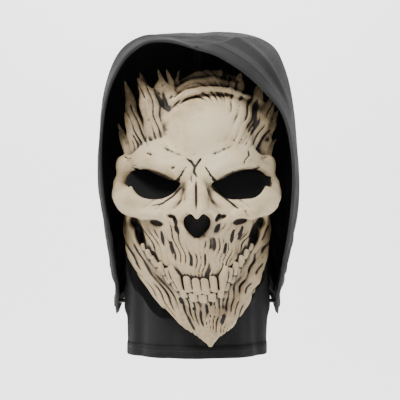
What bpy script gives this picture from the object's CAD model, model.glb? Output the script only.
"""A hooded skull mask: the looks of each piece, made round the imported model."""

import math

import bpy
import bmesh
import numpy as np
import openvdb
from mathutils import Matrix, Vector
from mathutils.bvhtree import BVHTree


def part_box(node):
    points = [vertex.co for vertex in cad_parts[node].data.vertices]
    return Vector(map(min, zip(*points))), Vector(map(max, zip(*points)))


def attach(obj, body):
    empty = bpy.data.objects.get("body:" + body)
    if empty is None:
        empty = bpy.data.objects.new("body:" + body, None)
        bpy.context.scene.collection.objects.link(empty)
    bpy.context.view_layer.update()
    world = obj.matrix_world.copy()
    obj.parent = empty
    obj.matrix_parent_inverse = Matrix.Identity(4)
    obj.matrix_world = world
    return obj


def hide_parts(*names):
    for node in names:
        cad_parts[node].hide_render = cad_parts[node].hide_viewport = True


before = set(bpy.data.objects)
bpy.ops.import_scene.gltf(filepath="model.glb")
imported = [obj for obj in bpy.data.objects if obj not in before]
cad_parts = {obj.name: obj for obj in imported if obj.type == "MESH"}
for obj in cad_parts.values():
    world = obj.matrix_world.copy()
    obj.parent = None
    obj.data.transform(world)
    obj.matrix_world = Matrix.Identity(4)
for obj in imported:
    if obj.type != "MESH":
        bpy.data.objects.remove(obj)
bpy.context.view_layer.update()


# ---- Studio ----------------------------------------------------------------------------------------------
# A pale sweep under and behind the mask, which floats at head height as if worn, with a large soft key from
# the upper left, a weaker fill from the right and two strips that pick out the hood's folds.

def look_at(obj, place, target):
    """Stands an object at place, facing target."""
    obj.location = place
    obj.rotation_euler = (Vector(target) - Vector(place)).to_track_quat("-Z", "Y").to_euler()


def area_light(name, place, target, size, watts, colour=(1, 1, 1)):
    data = bpy.data.lights.new(name, "AREA")
    data.shape = "RECTANGLE"
    data.size, data.size_y = size
    data.energy = watts
    data.color = colour
    lamp = bpy.data.objects.new(name, data)
    bpy.context.collection.objects.link(lamp)
    look_at(lamp, place, target)
    return lamp


def studio_floor(drop=0.62, front=-2.4, back=1.7, rise=2.6, half_width=3.2, bend=0.7, steps=24):
    """A floor that curves up into a backdrop."""
    profile = [(front, -drop)]
    for i in range(steps + 1):
        turn = math.pi / 2 * i / steps
        profile.append((back - bend + bend * math.sin(turn), -drop + bend - bend * math.cos(turn)))
    profile.append((back, rise))
    rows = [[(x, y, z) for x in (-half_width, half_width)] for y, z in profile]
    mesh = bpy.data.meshes.new("studio_floor")
    corners = [p for row in rows for p in row]
    faces = [(2 * i, 2 * i + 1, 2 * i + 3, 2 * i + 2) for i in range(len(rows) - 1)]
    mesh.from_pydata(corners, [], faces)
    mesh.shade_smooth()
    floor = bpy.data.objects.new("studio_floor", mesh)
    bpy.context.collection.objects.link(floor)
    paint = bpy.data.materials.new("studio_paint")
    paint.use_nodes = True
    shader = paint.node_tree.nodes["Principled BSDF"]
    shader.inputs["Base Color"].default_value = (0.93, 0.93, 0.925, 1)
    shader.inputs["Roughness"].default_value = 0.9
    shader.inputs["Emission Color"].default_value = (1, 1, 1, 1)
    shader.inputs["Emission Strength"].default_value = 0.28
    mesh.materials.append(paint)


studio_floor()
head = (0.0, -0.05, -0.01)
area_light("key", (-0.7, -1.1, 1.7), head, (0.8, 0.7), 70, (1.0, 0.98, 0.94))
area_light("fill", (1.3, -1.3, 0.3), head, (1.2, 1.2), 6, (0.95, 0.97, 1.0))
area_light("top", (0.1, 0.1, 1.7), head, (1.4, 1.2), 22)
area_light("back_left", (-1.3, 0.9, 0.7), head, (0.5, 1.4), 16)
area_light("back_right", (1.3, 0.9, 0.6), head, (0.5, 1.4), 16)
area_light("backdrop", (0, 0.5, 1.6), (0, 1.7, 0.3), (2.6, 0.6), 62)

world = bpy.data.worlds.new("studio_air")
bpy.context.scene.world = world
world.use_nodes = True
world.node_tree.nodes["Background"].inputs["Color"].default_value = (0.92, 0.95, 1.0, 1)
world.node_tree.nodes["Background"].inputs["Strength"].default_value = 0.30

lens = bpy.data.cameras.new("camera")
lens.lens = 101.7
lens.sensor_width = 36
camera = bpy.data.objects.new("camera", lens)
bpy.context.collection.objects.link(camera)
look_at(camera, (0.0035, -1.40, -0.018), (0.0035, 0, -0.018))
bpy.context.scene.camera = camera


# ---- Latex casting ---------------------------------------------------------------------------------------
# The face is slush-cast latex, 3 to 4 mm thick, from a clay sculpt: a gaunt skull with heavy brows, bared
# teeth, sinews that run down to a pointed chin, and a fringe of flame-like horns. It is one piece, trimmed
# behind the ears and under the jaw, and washed with thin brown and black paint that stays in the hollows.

clay_low = np.array((-112.0, -122.0, -196.0))
clay_high = np.array((112.0, 34.0, 158.0))
clay_step = 1.1
clay_x = np.arange(clay_low[0], clay_high[0], clay_step, dtype=np.float32)
clay_y = np.arange(clay_low[1], clay_high[1], clay_step, dtype=np.float32)
clay_z = np.arange(clay_low[2], clay_high[2], clay_step, dtype=np.float32)
clay = np.full((len(clay_x), len(clay_y), len(clay_z)), 60.0, dtype=np.float32)


def smooth_step(a, b, t):
    s = np.clip((t - a) / (b - a), 0, 1)
    return s * s * (3 - 2 * s)


def lean(z):
    """How far the sculpt's middle line drifts to the wearer's left, in mm: the chin is set a little askew."""
    return 15.0 * smooth_step(-70, -200, z) - 1.5 * smooth_step(-20, 20, z) + 3.5 * smooth_step(20, 120, z)


clay_lean = lean(clay_z)[None, None, :]


def clay_window(low, high, margin):
    """The part of the clay block round a shape, with its coordinates measured from the middle line."""
    parts = []
    drift = (-4.0, 15.0)
    for axis, (line, a, b) in enumerate(zip((clay_x, clay_y, clay_z), low, high)):
        extra = drift if axis == 0 else (0.0, 0.0)
        start = np.searchsorted(line, a - margin + extra[0])
        stop = np.searchsorted(line, b + margin + extra[1])
        parts.append(slice(start, max(stop, start + 1)))
    x = clay_x[parts[0]][:, None, None] - clay_lean[:, :, parts[2]]
    return tuple(parts), x, clay_y[parts[1]][None, :, None], clay_z[parts[2]][None, None, :]


def blend_min(a, b, soft):
    """The nearer of two surfaces, with a soft fillet where they meet."""
    h = np.clip(0.5 + 0.5 * (b - a) / soft, 0, 1)
    return b + (a - b) * h - soft * h * (1 - h)


def egg(centre, radii, turn=0.0):
    """An ellipsoid, turned in the face's plane: its box and its distance."""
    c, s = math.cos(math.radians(turn)), math.sin(math.radians(turn))
    reach = np.array((abs(c) * radii[0] + abs(s) * radii[2], radii[1], abs(s) * radii[0] + abs(c) * radii[2]))

    def distance(x, y, z):
        dx, dz = x - centre[0], z - centre[2]
        p = (c * dx + s * dz) / radii[0]
        q = (y - centre[1]) / radii[1]
        r = (c * dz - s * dx) / radii[2]
        near = np.sqrt(p * p + q * q + r * r) + 1e-6
        slope = np.sqrt((p / radii[0]) ** 2 + (q / radii[1]) ** 2 + (r / radii[2]) ** 2) + 1e-6
        return near * (near - 1) / slope

    return np.array(centre) - reach, np.array(centre) + reach, distance


def root(points, radii, flat=1.0):
    """A limb through points that tapers from radius to radius, thinner front to back if flat is under 1."""
    points = np.array(points, dtype=float)

    def distance(x, y, z):
        best = None
        for (a, b), (ra, rb) in zip(zip(points, points[1:]), zip(radii, radii[1:])):
            run = b - a
            run_y = run[1] / flat
            px, py, pz = x - a[0], (y - a[1]) / flat, z - a[2]
            passed = px * run[0] + py * run_y + pz * run[2]
            t = np.clip(passed / (run[0] ** 2 + run_y ** 2 + run[2] ** 2), 0, 1)
            gap = np.sqrt((px - t * run[0]) ** 2 + (py - t * run_y) ** 2 + (pz - t * run[2]) ** 2)
            gap = gap - (ra + (rb - ra) * t)
            best = gap if best is None else np.minimum(best, gap)
        return best

    wide = max(radii)
    return points.min(axis=0) - wide, points.max(axis=0) + wide, distance


def tile(centre, half, corner, turn=0.0, taper=0.0):
    """A rounded block, turned in the face's plane and narrower towards its top: its box and its distance."""
    c, s = math.cos(math.radians(turn)), math.sin(math.radians(turn))
    reach = max(half) * 1.3

    def distance(x, y, z):
        dx, dz = x - centre[0], z - centre[2]
        up = c * dz - s * dx
        u = np.abs(c * dx + s * dz) / (1 - taper * up / half[2]) - half[0] + corner
        v = np.abs(y - centre[1]) - half[1] + corner
        w = np.abs(up) - half[2] + corner
        out = np.sqrt(np.maximum(u, 0) ** 2 + np.maximum(v, 0) ** 2 + np.maximum(w, 0) ** 2)
        return out + np.minimum(np.maximum(np.maximum(u, v), w), 0) - corner

    return np.array(centre) - reach, np.array(centre) + reach, distance


def put(shape, soft):
    """Adds a shape to the clay."""
    low, high, distance = shape
    part, x, y, z = clay_window(low, high, soft + 4)
    clay[part] = blend_min(clay[part], distance(x, y, z).astype(np.float32), soft)


def scoop(shape, soft):
    """Takes a shape out of the clay."""
    low, high, distance = shape
    part, x, y, z = clay_window(low, high, soft + 2)
    clay[part] = -blend_min(-clay[part], distance(x, y, z).astype(np.float32), soft)


def pair(tool, maker, places, *sizes, soft, **more):
    """Uses a tool on both sides of the face."""
    for side in (-1, 1):
        if isinstance(places[0], (int, float)):
            turned = (side * places[0], places[1], places[2])
        else:
            turned = [(side * x, y, z) for x, y, z in places]
        extra = {k: side * v if k == "turn" else v for k, v in more.items()}
        tool(maker(turned, *sizes, **extra), soft)


# The skull's masses: a domed forehead over a back-swept cranium, the cheeks and the muzzle.
put(egg((0, 14, 38), (77, 92, 80)), 4)
put(egg((8, -32, 52), (60, 66, 62)), 18)
put(egg((38, -30, 66), (46, 52, 46)), 16)
put(egg((0, -46, -56), (66, 55, 48)), 12)
put(egg((0, -52, -92), (58, 53, 42)), 12)
put(egg((0, -50, -128), (46, 46, 30)), 12)
pair(put, egg, (46, -28, -70), (34, 42, 70), soft=14, turn=-22)
put(root([(0, -54, -120), (0, -70, -150), (0, -84, -170)], [36, 23, 10]), 12)

# The brows melt into the forehead above and overhang the eyes below, low at the nose and swept up and out.
pair(put, root, [(4, -84, 10), (24, -82, 20), (48, -74, 33), (70, -56, 36), (84, -42, 26)],
     [15, 18, 19, 15, 9], soft=14)
pair(put, root, [(8, -96, 8), (26, -95, 15), (48, -87, 25), (68, -70, 28), (82, -52, 20)],
     [5, 6, 7, 7, 5], soft=9)

# The cheekbone runs round the outside of each eye and in under it to the nose, and back to the ear.
pair(put, egg, (63, -63, -19), (37, 26, 19), soft=10, turn=6)
pair(put, egg, (27, -76, -22), (20, 20, 26), soft=12, turn=20)
pair(put, root, [(86, -44, 14), (92, -42, 2), (92, -50, -14), (82, -68, -27), (64, -84, -34), (46, -91, -35)],
     [7, 8, 9, 8, 7, 5], soft=7)
pair(put, root, [(90, -46, -14), (88, -14, -10), (82, 24, -6)], [8, 9, 9], soft=10)
pair(put, root, [(84, -46, 24), (82, -20, 30), (76, 20, 36)], [8, 8, 8], soft=14)

# Eye sockets and hollow temples.
pair(scoop, egg, (51, -104, 0), (31, 31, 17), soft=9, turn=8)
pair(scoop, egg, (84, -58, 58), (17, 30, 23), soft=10, turn=-14)

# The jaw: two long bones that come forward from the ears to the chin, with a hollow cheek in front of each.
pair(put, root, [(82, 6, -30), (82, -16, -54), (77, -36, -84), (62, -56, -112), (43, -70, -138),
                 (22, -82, -160), (3, -90, -176)], [8, 9, 9, 10, 10, 10, 6], soft=8)
put(root([(0, -86, -160), (1, -93, -178), (1, -96, -185)], [9, 5, 2.8]), 6)
pair(scoop, egg, (69, -78, -58), (7, 34, 19), soft=3, turn=-14)
pair(scoop, egg, (77, -56, -44), (6, 18, 8), soft=3, turn=-30)

# The nose: a split bone over a heart-shaped hollow, with a thin wall left standing in it.
put(root([(-1, -93, 10), (-1, -96, -6), (-1, -97, -24)], [7, 12, 19], flat=0.8), 5)
pair(put, root, [(4, -98, 6), (6, -106, -12), (6, -111, -28), (2.5, -113, -36)], [5, 7, 7.5, 4.5], soft=2.5)
pair(put, root, [(12, -104, -26), (22, -97, -34), (34, -92, -38)], [6, 5, 4], soft=4)
pair(scoop, egg, (10.5, -108, -43), (8, 17, 11), soft=2.5, turn=-24)
scoop(egg((0, -106, -54), (13, 16, 10)), 3)
put(root([(0, -99, -36), (0, -96, -66)], [1.4, 1.8]), 2)
pair(scoop, egg, (24, -102, -51), (4.5, 9, 8), soft=2, turn=-24)
pair(scoop, egg, (30, -98, -37), (6, 8, 3.4), soft=2, turn=14)


def tooth_line(x):
    """Height of the upper teeth's cutting edge, and how far forward they stand, at x."""
    return -126 + 0.0125 * x * x, -104.5 + 0.0096 * x * x


# The teeth: four square incisors, a slanted canine each side and ever smaller ones up to the cheeks, over a
# low row in the jaw, all set in one deep slot.
slot = [(x, tooth_line(x)[1] - 3, tooth_line(x)[0] + 6 - 0.07 * abs(x))
        for x in (-64, -54, -42, -28, -14, 0, 14, 28, 42, 54, 64)]
scoop(root(slot, [3, 5, 8, 9.5, 10, 10, 10, 9.5, 8, 5, 3], flat=0.6), 2)
slot = [(x, tooth_line(x)[1] - 2, tooth_line(x)[0] - 4) for x in (-62, -42, -28, -14, 0, 14, 28, 42, 62)]
scoop(root(slot, [2.5, 4.5, 6.5, 8, 8.5, 8, 6.5, 4.5, 2.5], flat=0.7), 2)
bare_gums = clay.copy()
for x in (-14.6, -4.9, 4.9, 14.6):
    edge, forward = tooth_line(x)
    wide = 4.9 if abs(x) < 10 else 4.6
    put(tile((x, forward + 1.9, edge + 8.4), (wide, 4, 9.6), 3.4, turn=-0.3 * x, taper=0.10), 0.3)
for side in (-1, 1):
    edge, forward = tooth_line(24)
    canine = [(side * 31, forward + 3.4, edge + 22), (side * 27, forward + 0.2, edge + 11),
              (side * 23, forward + 1, edge - 5)]
    put(root(canine, [4.2, 5.2, 2.4]), 0.4)
    for x, wide, tall in ((33, 4.4, 8.6), (41.2, 4.2, 8), (49, 3.9, 7.2), (56, 3.4, 6), (62, 3, 5)):
        edge, forward = tooth_line(x)
        slant = side * (8 + 0.35 * x)
        upper = (side * (x + 1), forward + 1.5, edge + tall - 0.6)
        put(tile(upper, (wide, 3.8, tall), 2.8, turn=-slant, taper=0.08), 0.5)
        low = (side * (x - 4.6), forward + 2.6, edge - tall * 0.62)
        put(tile(low, (wide * 0.98, 3.4, tall * 0.66), 2.6, turn=-slant, taper=-0.08), 0.5)
for x, wide in ((-21, 4.3), (-10.4, 5), (0, 5), (10.4, 5), (21, 4.3)):
    edge, forward = tooth_line(x)
    put(tile((x, forward + 3.4, edge - 5.4), (wide, 3.6, 5.6), 2.8, turn=-0.4 * x, taper=-0.10), 0.4)

# The horns: broad flames that sweep up and out from the temples, each side a little different, and smaller
# ones in the crown.
left_horns = [
    ([(-34, -62, 50), (-46, -66, 70), (-58, -62, 94), (-64, -56, 112), (-76, -48, 130)],
     [21, 18, 13, 7.5, 1.4]),
    ([(-44, -58, 60), (-50, -60, 84), (-50, -56, 106), (-45, -50, 124), (-50, -44, 140)],
     [15, 12, 9, 5, 1.4]),
    ([(-60, -50, 38), (-72, -50, 60), (-80, -44, 84), (-82, -38, 104), (-90, -30, 126)],
     [14, 12, 9.5, 6, 1.4]),
    ([(-68, -50, 30), (-80, -44, 44), (-88, -36, 56), (-96, -28, 74)], [11, 8, 5.5, 1.4]),
    ([(-30, -54, 92), (-36, -54, 110), (-34, -48, 124), (-40, -42, 140)], [14, 9, 5, 1.4]),
    ([(-54, -28, 70), (-66, -20, 100), (-66, -14, 120), (-72, -10, 138)], [14, 9, 5.5, 1.4]),
]
right_horns = [
    ([(58, -56, 56), (72, -56, 74), (82, -48, 90), (92, -38, 108)], [17, 14, 9, 1.6]),
    ([(56, -50, 82), (68, -48, 100), (72, -42, 114), (82, -34, 126)], [14, 10, 6, 1.4]),
    ([(70, -46, 36), (82, -42, 58), (90, -36, 76), (98, -28, 94)], [12, 10, 7, 1.4]),
    ([(74, -46, 30), (86, -38, 42), (97, -28, 56)], [9, 6, 1.4]),
    ([(42, -48, 98), (50, -46, 116), (48, -42, 128), (54, -36, 140)], [12, 7, 4, 1.4]),
    ([(60, -24, 72), (72, -18, 100), (74, -14, 116), (82, -10, 130)], [13, 8, 5, 1.4]),
]
for path, radii in left_horns + right_horns:
    put(root(path, radii, flat=0.55), 5)

# Where the crown meets the forehead the skin is gathered in three arched folds, with a few thin strands.
put(egg((12, -34, 108), (40, 24, 22)), 8)
put(root([(-32, -60, 98), (-14, -67, 108), (10, -70, 113), (36, -66, 112), (60, -52, 104)],
         [4, 4.5, 4, 4.5, 4]), 4)
put(root([(-28, -46, 112), (-8, -54, 120), (16, -54, 124), (46, -46, 118)], [6, 7, 7, 6]), 2)
put(root([(-20, -28, 122), (0, -36, 131), (24, -34, 132), (46, -26, 124)], [7, 8, 8, 7]), 2)
for x, lean_out, top in ((-22, -5, 139), (30, 5, 141)):
    put(root([(x, -40, 110), (x + lean_out, -38, 126), (x + 0.4 * lean_out, -32, top)], [6, 4, 1.2]), 3)


def clay_relief():
    """A shallow drawing pressed into the front of the clay: its depth in mm over the face's plane."""
    px = clay_x[:, None] - lean(clay_z)[None, :]
    pz = np.broadcast_to(clay_z[None, :], px.shape)
    deep = np.zeros(px.shape, dtype=np.float32)

    def stroke(points, width, depth, ends=0.25):
        """A crease along points, thin at its ends."""
        nonlocal deep
        total = sum(math.dist(a, b) for a, b in zip(points, points[1:]))
        gone = 0.0
        cut = np.zeros_like(deep)
        for a, b in zip(points, points[1:]):
            run = math.dist(a, b)
            ux, uz = (b[0] - a[0]) / run, (b[1] - a[1]) / run
            t = np.clip((px - a[0]) * ux + (pz - a[1]) * uz, 0, run)
            far = np.hypot(px - a[0] - t * ux, pz - a[1] - t * uz)
            along = (gone + t) / total
            fade = np.minimum(1, np.minimum(along, 1 - along) / ends + 0.25)
            cut = np.maximum(cut, fade * np.exp(-(far / (width * fade)) ** 2))
            gone += run
        deep += depth * cut

    def pit(x, z, rx, rz, depth, turn=0.0):
        nonlocal deep
        c, s = math.cos(math.radians(turn)), math.sin(math.radians(turn))
        u = (c * (px - x) + s * (pz - z)) / rx
        v = (c * (pz - z) - s * (px - x)) / rz
        deep += depth * np.exp(-(u * u + v * v) ** 2)

    # Cracks and creases of the brow and forehead.
    stroke([(-11, 30), (-5, 26), (-1, 20), (-2, 14), (2, 7)], 1.6, 2.6)
    stroke([(7, 31), (3, 25), (-1, 19)], 1.4, 2.2)
    stroke([(-3, 13), (-6, 6), (-4, 0)], 1.2, 1.4)
    stroke([(60, 42), (62, 34), (57, 28), (55, 21)], 1.2, 1.6)
    stroke([(55, -29), (58, -34), (61, -38)], 1.2, 1.8)
    stroke([(16, -1), (26, -10), (38, -20), (48, -28)], 1.6, 1.5)
    stroke([(-18, -3), (-28, -14), (-40, -22), (-52, -25)], 1.5, 1.2)
    stroke([(0, 4), (-1, -12), (-1, -30)], 1.3, 1.8)
    for i in range(4):
        stroke([(-86 + 3 * i, 34 - 4 * i), (-80 + 3 * i, 31 - 4 * i), (-73 + 2 * i, 30 - 4 * i)], 1.0, 1.3)
        stroke([(86 - 3 * i, 34 - 4 * i), (80 - 3 * i, 31 - 4 * i), (74 - 2 * i, 30 - 4 * i)], 1.0, 0.9)
    stroke([(-40, 44), (-24, 36), (-14, 33)], 2.4, 1.0)
    stroke([(44, 46), (28, 38), (16, 34)], 2.4, 1.0)
    stroke([(-58, 37), (-50, 34)], 2.6, 1.6)
    for side in (-1, 1):
        for i in range(4):
            stroke([(side * (9 + 2.4 * i), 22 - 5 * i), (side * (15 + 3 * i), 15 - 4 * i),
                    (side * (17 + 4 * i), 8 - 4 * i)], 1.2, 1.0)
    pit(-26, 19, 3.4, 2.4, 1.8, 20)

    # Small holes between the sinews of the cheeks, and slits down the jaw.
    for x, z, rx, rz, turn in (
            (24, -38, 2.4, 5.5, -24), (50, -43, 8, 3.4, 14), (41, -60, 2.2, 8, -12), (51, -56, 2, 8, -20),
            (33, -74, 1.9, 7, -10), (-47, -45, 7, 3.2, -14), (-40, -62, 2, 8, 12), (-29, -72, 1.8, 7, 8),
            (-7, -88, 1.6, 6, 0), (-49, -84, 1.9, 6, 24), (9, -86, 1.5, 6, -4), (-25, -42, 2.2, 5, 20)):
        pit(x, z, rx, rz, 3.0, turn)
    stroke([(-27, -131), (-25, -139)], 2.0, 3.0)
    stroke([(3, -138), (2, -150)], 1.8, 2.6)
    stroke([(22, -150), (17, -163)], 2.0, 2.8)
    stroke([(-21, -152), (-19, -160), (-15, -170)], 2.0, 3.0)
    stroke([(-13, -142), (-12, -146)], 2.2, 2.2)
    stroke([(9, -134), (8, -140)], 1.6, 1.8)

    # Fine pits of the old bone.
    dots = np.random.default_rng(7)
    for _ in range(260):
        x, z = dots.uniform(-60, 66), dots.uniform(14, 112)
        size = dots.uniform(0.7, 1.7)
        part_x = slice(*np.searchsorted(clay_x, (x - 8, x + 12)))
        part_z = slice(*np.searchsorted(clay_z, (z - 6, z + 6)))
        u, v = px[part_x, part_z] - x, pz[part_x, part_z] - z
        deep[part_x, part_z] += dots.uniform(0.15, 0.55) * np.exp(-(u * u + v * v) / size ** 2)
    return px, pz, deep


relief_x, relief_z, relief = clay_relief()


def ripple(u, seed, count, low, high):
    """An uneven wave over u: many sines of random pitch and phase."""
    dice = np.random.default_rng(seed)
    total = np.zeros_like(u)
    for _ in range(count):
        total += np.sin(u * dice.uniform(low, high) + dice.uniform(0, 6.3)) * dice.uniform(0.5, 1)
    return total / math.sqrt(count)


def furrows(wave, sharp=0.40):
    """Narrow furrows where a wave passes nought, between round cords."""
    return np.exp(-(wave / sharp) ** 2)


def sinews():
    """Cords of dried muscle: from the cheeks to the teeth, from the teeth to the chin, and up the horns."""
    x, z = relief_x, relief_z
    wander = 0.10 * np.sin(z * 0.11 + 1 + 0.03 * x) + 0.07 * np.sin(z * 0.23 + x * 0.09)
    blotches = np.sin(0.17 * x + 0.11 * z + 1.6 * np.sin(0.08 * z - 0.06 * x))
    patchy = 0.35 + 0.65 * smooth_step(-0.9, 0.5, blotches)
    width = 34 + 46 * smooth_step(-124, -40, z)
    above_teeth = z - 0.0125 * x * x
    muzzle = smooth_step(-34, -52, z + 0.16 * np.abs(x)) * smooth_step(-112, -102, above_teeth)
    muzzle = muzzle * (0.35 + 0.65 * smooth_step(8, 20, np.abs(x) + np.maximum(0, -62 - z)))
    deep = muzzle * 1.9 * furrows(ripple(x / width + 0.32 * wander, 3, 5, 26, 58)) * patchy
    jaw = smooth_step(-134, -142, above_teeth) * smooth_step(-188, -168, z)
    angle = np.arctan2(x, z + 214)
    deep += jaw * 2.2 * furrows(ripple(angle + 0.16 * wander, 5, 5, 26, 60)) * patchy
    cheek = smooth_step(62, 72, np.abs(x)) * smooth_step(-34, -46, z)
    deep += cheek * 0.7 * furrows(ripple(x / width + 0.004 * z * np.sign(x), 11, 5, 18, 44))
    turn = np.arctan2(x - np.sign(x) * (18 + 0.25 * (z - 30)), 60 + z * 0.35)
    high = smooth_step(40, 62, np.abs(x) + 0.28 * (z - 40)) * smooth_step(36, 54, z)
    deep += high * 2.2 * furrows(ripple(turn + 0.14 * wander, 9, 5, 26, 60)) * patchy
    crest = smooth_step(92, 104, z + 0.08 * np.abs(x)) * (1 - high)
    deep += crest * 1.4 * furrows(ripple(0.016 * z + 0.0005 * x * x + 0.004 * x, 15, 4, 12, 26))
    under_eye = smooth_step(-10, -18, z) * smooth_step(-36, -28, z) * smooth_step(14, 24, np.abs(x))
    slant = z * 0.8 + np.abs(x) * 0.62
    deep += under_eye * 0.5 * furrows(ripple(slant * 0.05, 17, 4, 8, 22), 0.2)
    return deep


cords = sinews().astype(np.float32)
smooth_clay = clay.copy()
front = 1 - smooth_step(-40, 0, clay_y)[None, :, None]
pressed = (relief + cords)[:, None, :]
clay += np.minimum(pressed, 2.1) * front


def outline_distance(outline, x, z):
    """Distance to a closed outline in the face's plane, below nought inside it."""
    best = np.full(x.shape, 1e9)
    inside = np.zeros(x.shape, dtype=bool)
    for a, b in zip(outline, outline[1:] + outline[:1]):
        ex, ez = b[0] - a[0], b[1] - a[1]
        px, pz = x - a[0], z - a[1]
        t = np.clip((px * ex + pz * ez) / (ex * ex + ez * ez), 0, 1)
        best = np.minimum(best, np.hypot(px - t * ex, pz - t * ez))
        crosses = ((a[1] > z) != (b[1] > z)) & (px < ex * pz / (ez if ez else 1e-9))
        inside ^= crosses
    return np.where(inside, -best, best)


def rounded(outline, steps=6):
    """An outline with a smooth curve through its points."""
    made = []
    n = len(outline)
    for i in range(n):
        p0, p1, p2, p3 = (np.array(outline[(i + k) % n], dtype=float) for k in (-1, 0, 1, 2))
        for s in range(steps):
            t = s / steps
            made.append(tuple(0.5 * (2 * p1 + (p2 - p0) * t + (2 * p0 - 5 * p1 + 4 * p2 - p3) * t * t
                                     + (3 * p1 - p0 - 3 * p2 + p3) * t ** 3)))
    return made


uncut_clay = clay.copy()

# The eye openings, as the knife cuts them: low at the nose, high and square at the outer corner.
eye_holes = [
    rounded([(-79, 5), (-72, 15), (-60, 18), (-45, 11), (-32, 6), (-20, 2), (-24, -6), (-32, -13), (-45, -17),
             (-61, -16), (-72, -9)]),
    rounded([(17, 1), (30, 7), (42, 13), (54, 17), (64, 18), (76, 16), (83, 8), (78, -6), (68, -15),
             (53, -17), (38, -17), (28, -12), (22, -5)]),
]
nose_hole = rounded([(0, -40), (7, -34), (15, -40), (14, -50), (5, -60), (0, -62), (-5, -60), (-14, -50),
                     (-15, -40), (-7, -34)])
face_x, face_z = np.meshgrid(clay_x, clay_z, indexing="ij")
for outline in eye_holes + [nose_hole]:
    hole = outline_distance(outline, face_x, face_z)
    cut = -blend_min(-clay[:, :, :], hole[:, None, :].astype(np.float32), 1.2)
    near = (clay_y < -30)[None, :, None]
    clay = np.where(near, cut, clay)
    cut = -blend_min(-smooth_clay, hole[:, None, :].astype(np.float32) - 1.0, 1.2)
    smooth_clay = np.where(near, cut, smooth_clay)

# The wall: what lies less than its thickness under the surface, trimmed at the rear rim and under the jaw.
wall = 3.6
shell = np.maximum(clay, -(smooth_clay + wall))
rim_y, rim_z, rim_slope = 19.0, -46.0, math.radians(54)
grid_y, grid_z = clay_y[None, :, None], clay_z[None, None, :]
past_rim = grid_y - rim_y
trim = np.maximum(past_rim, math.sin(rim_slope) * past_rim - math.cos(rim_slope) * (grid_z - rim_z))
shell = -blend_min(-shell, -trim.astype(np.float32), 1.0)


def field_mesh(field, low, step, detail):
    """The surface where a field is nought: its points in mm and its triangles."""
    grid = openvdb.FloatGrid(4.0)
    grid.copyFromArray(np.ascontiguousarray(np.clip(field, -4, 4)))
    points, triangles, quads = grid.convertToPolygons(isovalue=0.0, adaptivity=detail)
    points = points * step + low
    faces = [tuple(f) for f in triangles[:, ::-1]] + [tuple(f) for f in quads[:, ::-1]]
    return points, faces


def box_blur(field, reach):
    """A field averaged over a cube that reaches so many steps each way."""
    for axis in range(3):
        padded = np.concatenate([np.repeat(np.take(field, [0], axis), reach + 1, axis), field,
                                 np.repeat(np.take(field, [-1], axis), reach, axis)], axis)
        total = np.cumsum(padded, axis=axis, dtype=np.float64)
        n = field.shape[axis]
        upper = np.take(total, np.arange(2 * reach + 1, 2 * reach + 1 + n), axis)
        lower = np.take(total, np.arange(0, n), axis)
        field = ((upper - lower) / (2 * reach + 1)).astype(np.float32)
    return field


def sample(field, places, low, step):
    """A field's values at places, in mm, between its grid points."""
    at = (places - low) / step
    base = np.clip(np.floor(at).astype(int), 0, np.array(field.shape) - 2)
    part = np.clip(at - base, 0, 1)
    total = np.zeros(len(places))
    for corner in range(8):
        pick = [(corner >> k) & 1 for k in range(3)]
        weight = np.ones(len(places))
        for k in range(3):
            weight = weight * (part[:, k] if pick[k] else 1 - part[:, k])
        total += weight * field[base[:, 0] + pick[0], base[:, 1] + pick[1], base[:, 2] + pick[2]]
    return total


def new_piece(name, places, faces, smooth=True):
    """A piece from points in mm."""
    mesh = bpy.data.meshes.new(name)
    mesh.from_pydata((np.asarray(places) / 1000).tolist(), [], faces)
    if smooth:
        mesh.shade_smooth()
    made = bpy.data.objects.new(name, mesh)
    bpy.context.collection.objects.link(made)
    return made


def apply_modifiers(piece):
    """Turns a piece and its modifiers into a plain mesh."""
    bpy.context.view_layer.update()
    shown = piece.evaluated_get(bpy.context.evaluated_depsgraph_get())
    mesh = bpy.data.meshes.new_from_object(shown)
    piece.modifiers.clear()
    old = piece.data
    piece.data = mesh
    bpy.data.meshes.remove(old)
    mesh.name = piece.name


def add_mask(piece, name, values):
    """Stores one number per point on a piece for its material."""
    layer = piece.data.attributes.new(name, "FLOAT", "POINT")
    layer.data.foreach_set("value", np.ascontiguousarray(values, dtype=np.float32))


points, faces = field_mesh(shell, clay_low, clay_step, 0.0)
casting = new_piece("latex_casting", points, faces)
thin = casting.modifiers.new("thin", "DECIMATE")
thin.ratio = 190000 / (2 * len(faces))
apply_modifiers(casting)
casting.data.shade_smooth()

places = np.empty(len(casting.data.vertices) * 3, dtype=np.float32)
casting.data.vertices.foreach_get("co", places)
places = places.reshape(-1, 3).astype(np.float64) * 1000
clipped = np.clip(clay, -12, 12)
fine_hollow = -sample(box_blur(clipped, 2), places, clay_low, clay_step)
broad_hollow = -sample(box_blur(clipped, 7), places, clay_low, clay_step)
inside = smooth_step(0.9, 2.0, -sample(clipped, places, clay_low, clay_step))


def sample_plane(values):
    """A drawing in the face's plane, read at the casting's points."""
    u = np.clip((places[:, 0] - clay_low[0]) / clay_step, 0, len(clay_x) - 1.001)
    v = np.clip((places[:, 2] - clay_low[2]) / clay_step, 0, len(clay_z) - 1.001)
    iu, iv = u.astype(int), v.astype(int)
    fu, fv = u - iu, v - iv
    return ((values[iu, iv] * (1 - fu) + values[iu + 1, iv] * fu) * (1 - fv)
            + (values[iu, iv + 1] * (1 - fu) + values[iu + 1, iv + 1] * fu) * fv)


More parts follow.
